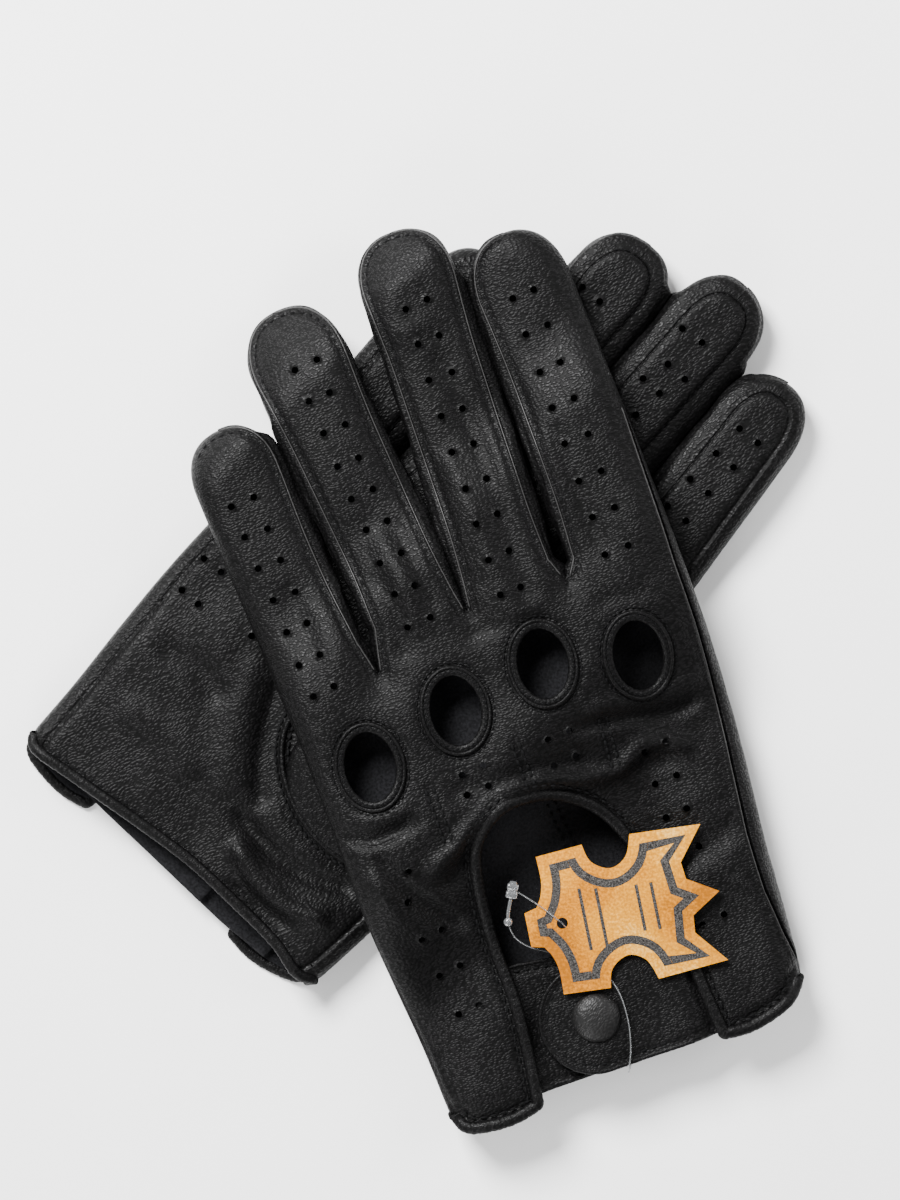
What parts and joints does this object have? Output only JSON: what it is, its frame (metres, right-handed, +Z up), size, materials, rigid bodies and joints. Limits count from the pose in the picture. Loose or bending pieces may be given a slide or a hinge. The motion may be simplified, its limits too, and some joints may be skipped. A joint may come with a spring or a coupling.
{
  "type": "pair of leather driving gloves",
  "caption": "Pair of unlined leather driving gloves with open knuckles, perforated fingers, an arched wrist opening and a snap strap, one glove lying across the other, with a hang tag.",
  "frame": {"origin": "centre of the pair's footprint, on the surface that it lies on", "axes": "+Z up from the surface; +Y runs the way the fingers point in the pair, and +X to the right of that"},
  "size_m": [0.2114, 0.2434, 0.0314],
  "materials": {
    "glove_leather": "smooth black nappa with a fine grain, suede inside",
    "binding_leather": "smooth black leather piping",
    "snap_metal": "plated snap parts",
    "gold_card": "metallic gold card with a dark inner line",
    "clear_plastic": "clear nylon loop"
  },
  "bodies": {
    "right_glove": {"right_back_panel": "glove_leather", "right_palm_panel": "glove_leather", "right_thumb": "glove_leather", "right_fourchette_little_ring": "glove_leather", "right_fourchette_ring_middle": "glove_leather", "right_fourchette_middle_index": "glove_leather", "right_knuckle_ring_little": "binding_leather", "right_knuckle_ring_ring": "binding_leather", "right_knuckle_ring_middle": "binding_leather", "right_knuckle_ring_index": "binding_leather", "right_wrist_piping": "binding_leather", "right_cuff_piping": "binding_leather", "right_strap_root": "glove_leather", "right_strap_underlay": "glove_leather", "right_snap_stud": "snap_metal", "right_snap_rivet": "snap_metal"},
    "right_strap": {"right_strap": "glove_leather", "right_snap_cap": "glove_leather", "right_snap_socket": "snap_metal"},
    "left_glove": {"left_back_panel": "glove_leather", "left_palm_panel": "glove_leather", "left_thumb": "glove_leather", "left_fourchette_little_ring": "glove_leather", "left_fourchette_ring_middle": "glove_leather", "left_fourchette_middle_index": "glove_leather", "left_knuckle_ring_little": "binding_leather", "left_knuckle_ring_ring": "binding_leather", "left_knuckle_ring_middle": "binding_leather", "left_knuckle_ring_index": "binding_leather", "left_wrist_piping": "binding_leather", "left_cuff_piping": "binding_leather", "left_strap_root": "glove_leather", "left_strap_underlay": "glove_leather", "left_snap_stud": "snap_metal", "left_snap_rivet": "snap_metal"},
    "left_strap": {"left_strap": "glove_leather", "left_snap_cap": "glove_leather", "left_snap_socket": "snap_metal", "tag_loop": "clear_plastic"},
    "left_tag": {"tag": "gold_card", "tag_loop_end": "clear_plastic", "tag_loop_head": "clear_plastic"}
  },
  "joints": [
    {"name": "left_glove_lift", "type": "slide", "parent": "right_glove", "child": "left_glove", "axis": [0, 0, 1], "range_m": [0, 0.12]},
    {"name": "left_strap_open", "type": "hinge", "parent": "left_glove", "child": "left_strap", "pos_m": [0.07308, -0.08182, 0.0167], "axis": [-0.3256, 0.9455, 0], "range_deg": [0, 90]},
    {"name": "left_tag_level", "type": "hinge", "parent": "left_strap", "child": "left_tag", "pos_m": [0.03013, -0.06827, 0.019], "axis": [0.3256, -0.9455, 0], "range_deg": [0, 90]},
    {"name": "right_strap_open", "type": "hinge", "parent": "right_glove", "child": "right_strap", "pos_m": [-0.04292, -0.05413, 0.0036], "axis": [-0.6884, -0.7254, 0], "range_deg": [0, 90]}
  ],
  "couplings": [
    {"joint": "left_tag_level", "follows": "left_strap_open", "ratio": 1}
  ]
}
